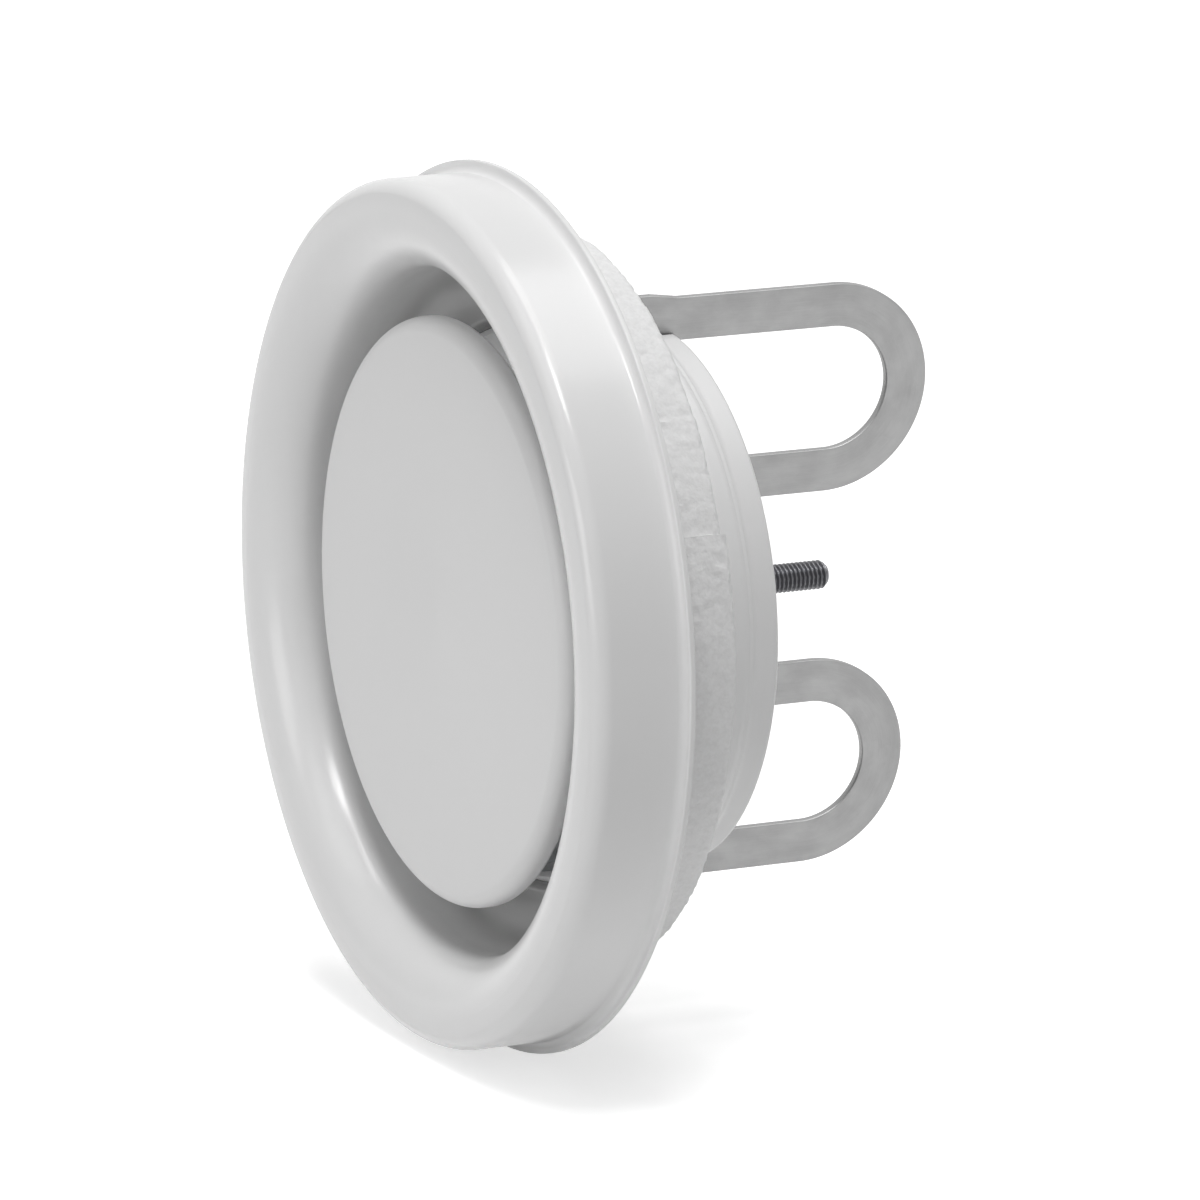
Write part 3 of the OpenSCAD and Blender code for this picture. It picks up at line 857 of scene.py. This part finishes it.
class VALVE_OT_stage(bpy.types.Operator):
    """Make the floor, the light and the camera"""

    bl_idname = "valve.stage"
    bl_label = "Stage"

    def execute(self, context):
        scene = context.scene
        s = scene.valve_studio
        back = np.array([math.cos(s.elevation) * math.cos(s.azimuth),
                         math.cos(s.elevation) * math.sin(s.azimuth),
                         math.sin(s.elevation)])
        right = np.array([-math.sin(s.azimuth), math.cos(s.azimuth), 0.0])
        up = np.cross(back, right)
        aim = 0.01683 * right + 0.00119 * up
        camera = bpy.data.objects.new("Camera", bpy.data.cameras.new("Camera"))
        scene.collection.objects.link(camera)
        camera.data.lens = s.lens
        camera.data.sensor_width = 36.0
        camera.data.clip_end = 50.0
        turn = Matrix(np.stack([right, up, back], 1).tolist()).to_4x4()
        camera.matrix_world = Matrix.Translation(Vector(aim + s.distance * back)) @ turn
        scene.camera = camera

        floor_z = CAD_BOX[0][2] - 0.0002
        mesh = bpy.data.meshes.new("floor")
        mesh.from_pydata([(-6, -6, floor_z), (6, -6, floor_z), (6, 6, floor_z),
                          (-6, 6, floor_z)], [], [(0, 1, 2, 3)])
        floor = bpy.data.objects.new("floor", mesh)
        scene.collection.objects.link(floor)
        mesh.materials.append(self.floor_material())

        self.lamp("key", s.key, 0.8, (0.36, -0.22, 0.91))
        self.lamp("top", s.top, 2.0, (0.0, 0.1, 1.0))
        self.lamp("front", s.front, 2.0, (0.0, -0.6, 0.8))
        self.lamp("low", s.low, 1.5, (0.08, -1.0, 0.12))
        self.lamp("back", s.back, 2.0, (0.1, 0.7, 0.7))
        self.room(scene, s.ambient)
        scene.view_settings.view_transform = "Standard"
        return {"FINISHED"}

    def floor_material(self):
        """White floor that keeps its shadows; the camera sees it a little brighter."""
        material = bpy.data.materials.new("Floor")
        material.use_nodes = True
        tree = material.node_tree
        tree.nodes.clear()
        path = tree.nodes.new("ShaderNodeLightPath")
        seen = put(tree, "ShaderNodeMath", {
            0: path.outputs["Is Camera Ray"], 1: path.outputs["Is Glossy Ray"]},
            operation="MAXIMUM").outputs[0]
        body = put(tree, "ShaderNodeBsdfDiffuse", {"Color": (0.85, 0.85, 0.85, 1)})
        glow = put(tree, "ShaderNodeEmission", {
            "Color": (1, 1, 1, 1), "Strength": maths(tree, "MULTIPLY", seen, 0.62)})
        both = put(tree, "ShaderNodeAddShader", {0: body.outputs[0], 1: glow.outputs[0]})
        clear = tree.nodes.new("ShaderNodeBsdfTransparent")
        side = tree.nodes.new("ShaderNodeNewGeometry").outputs["Backfacing"]
        out = put(tree, "ShaderNodeMixShader", {
            0: side, 1: both.outputs[0], 2: clear.outputs[0]})
        end = tree.nodes.new("ShaderNodeOutputMaterial")
        tree.links.new(out.outputs[0], end.inputs["Surface"])
        return material

    def lamp(self, name, power, size, direction, distance=3.0):
        """Square soft lamp that faces the valve."""
        data = bpy.data.lights.new(name, "AREA")
        data.energy = power
        data.size = size
        lamp = bpy.data.objects.new(name, data)
        bpy.context.scene.collection.objects.link(lamp)
        away = Vector(direction).normalized()
        lamp.matrix_world = (Matrix.Translation(away * distance)
                             @ away.to_track_quat("Z", "Y").to_matrix().to_4x4())

    def room(self, scene, ambient):
        """Even room light; camera, mirror and see-through rays meet a white room."""
        world = bpy.data.worlds.new("Room")
        world.use_nodes = True
        tree = world.node_tree
        tree.nodes.clear()
        path = tree.nodes.new("ShaderNodeLightPath")
        seen = put(tree, "ShaderNodeMath", {
            0: path.outputs["Is Camera Ray"], 1: path.outputs["Is Glossy Ray"]},
            operation="MAXIMUM").outputs[0]
        seen = put(tree, "ShaderNodeMath", {
            0: seen, 1: path.outputs["Is Transmission Ray"]}, operation="MAXIMUM").outputs[0]
        dim = put(tree, "ShaderNodeBackground", {
            "Color": (1, 1, 1, 1), "Strength": ambient})
        white = put(tree, "ShaderNodeBackground", {"Color": (1, 1, 1, 1), "Strength": 1.0})
        mix = put(tree, "ShaderNodeMixShader", {
            0: seen, 1: dim.outputs[0], 2: white.outputs[0]})
        end = tree.nodes.new("ShaderNodeOutputWorld")
        tree.links.new(mix.outputs[0], end.inputs["Surface"])
        scene.world = world


class VALVE_PT_panel(bpy.types.Panel):
    """Air valve panel"""

    bl_idname = "VALVE_PT_panel"
    bl_label = "Supply air valve"
    bl_space_type = "VIEW_3D"
    bl_region_type = "UI"
    bl_category = "Air valve"

    def draw(self, context):
        layout = self.layout
        for label, settings, operators in PANEL:
            box = layout.box()
            box.label(text=label)
            group = getattr(context.scene, settings)
            for key in group.__annotations__:
                box.prop(group, key)
            for operator in operators:
                box.operator(operator)


PANEL = [
    ("Front ring", "valve_ring", ["valve.front_ring"]),
    ("Control disc", "valve_disc", ["valve.control_disc"]),
    ("Foam gasket", "valve_foam", ["valve.foam_gasket"]),
    ("Spring loops", "valve_loop", ["valve.spring_loops"]),
    ("Spindle", "valve_thread", ["valve.spindle"]),
    ("Finishes", "valve_finish", ["valve.carried_nodes"]),
    ("Studio", "valve_studio", ["valve.stage"]),
]

SETTINGS = {
    "valve_ring": RingSizes, "valve_disc": DiscSizes, "valve_foam": FoamSizes,
    "valve_loop": LoopSizes, "valve_thread": ThreadSizes, "valve_finish": Finishes,
    "valve_studio": Studio,
}

CLASSES = [*SETTINGS.values(), VALVE_OT_front_ring, VALVE_OT_control_disc,
           VALVE_OT_foam_gasket, VALVE_OT_spring_loops, VALVE_OT_spindle,
           VALVE_OT_carried_nodes, VALVE_OT_stage, VALVE_PT_panel]


def register():
    """Registers the classes and hangs the settings on the scene."""
    for cls in CLASSES:
        bpy.utils.register_class(cls)
    for name, cls in SETTINGS.items():
        setattr(bpy.types.Scene, name, PointerProperty(type=cls))


def unregister():
    """Takes the settings and classes away again."""
    for name in SETTINGS:
        delattr(bpy.types.Scene, name)
    for cls in reversed(CLASSES):
        bpy.utils.unregister_class(cls)


def main():
    """Makes the whole valve and its stage."""
    register()
    bpy.ops.valve.stage()
    bpy.ops.valve.front_ring()
    bpy.ops.valve.control_disc()
    bpy.ops.valve.foam_gasket()
    bpy.ops.valve.spring_loops()
    bpy.ops.valve.spindle()
    bpy.ops.valve.carried_nodes()


if __name__ == "__main__":
    main()
